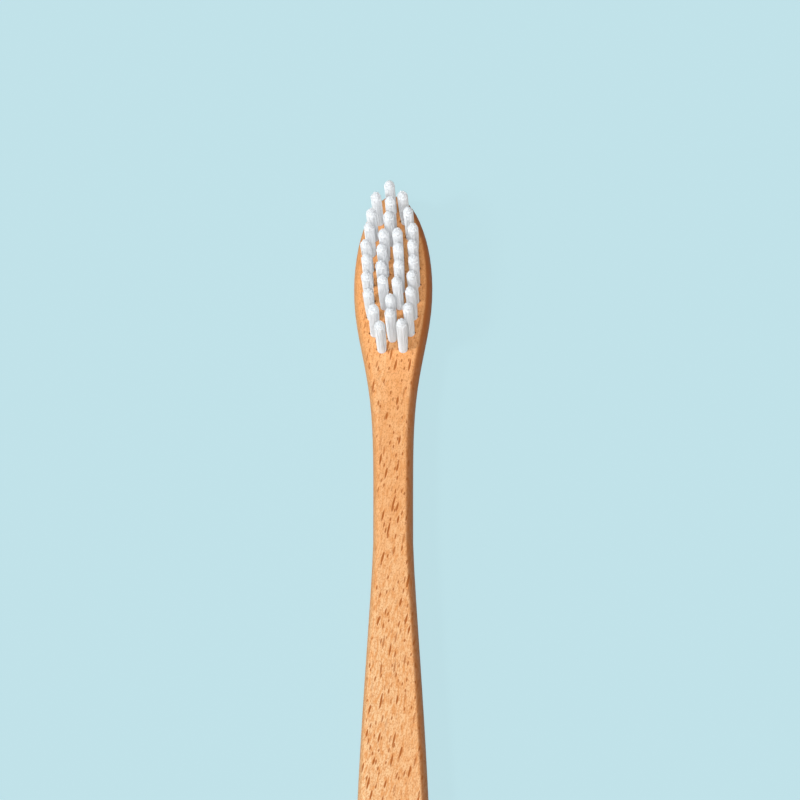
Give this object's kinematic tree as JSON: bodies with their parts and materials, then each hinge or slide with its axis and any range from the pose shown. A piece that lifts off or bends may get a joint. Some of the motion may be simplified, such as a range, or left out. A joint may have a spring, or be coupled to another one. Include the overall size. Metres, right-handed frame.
{
  "type": "manual toothbrush",
  "caption": "Manual toothbrush with a one-piece beech handle, a slim neck, a leaf-shaped head and white nylon tufts held in drilled holes by flat-wire anchors.",
  "frame": {"origin": "under the middle of the brush's box, on the surface that its flat back rests on", "axes": "+Y along the handle towards the toe of the head, +Z out of the bristle side, +X to the right when the bristles face the viewer and the toe points up"},
  "size_m": [0.0126, 0.188, 0.0166],
  "materials": {
    "beech": "satin",
    "white_nylon": "gloss",
    "anchor_brass": "satin"
  },
  "bodies": {
    "root": {"handle": "beech", "tuft_anchors": "anchor_brass", "tuft_row01_left": "white_nylon", "tuft_row01_right": "white_nylon", "tuft_row02_left": "white_nylon", "tuft_row02_middle": "white_nylon", "tuft_row02_right": "white_nylon", "tuft_row03_left": "white_nylon", "tuft_row03_middle": "white_nylon", "tuft_row03_right": "white_nylon", "tuft_row04_left_outer": "white_nylon", "tuft_row04_left_inner": "white_nylon", "tuft_row04_right_inner": "white_nylon", "tuft_row04_right_outer": "white_nylon", "tuft_row05_left_outer": "white_nylon", "tuft_row05_left_inner": "white_nylon", "tuft_row05_right_inner": "white_nylon", "tuft_row05_right_outer": "white_nylon", "tuft_row06_left_outer": "white_nylon", "tuft_row06_left_inner": "white_nylon", "tuft_row06_right_inner": "white_nylon", "tuft_row06_right_outer": "white_nylon", "tuft_row07_left_outer": "white_nylon", "tuft_row07_left_inner": "white_nylon", "tuft_row07_right_inner": "white_nylon", "tuft_row07_right_outer": "white_nylon", "tuft_row08_left": "white_nylon", "tuft_row08_middle": "white_nylon", "tuft_row08_right": "white_nylon", "tuft_row09_left": "white_nylon", "tuft_row09_middle": "white_nylon", "tuft_row09_right": "white_nylon", "tuft_row10_middle": "white_nylon"}
  },
  "joints": []
}
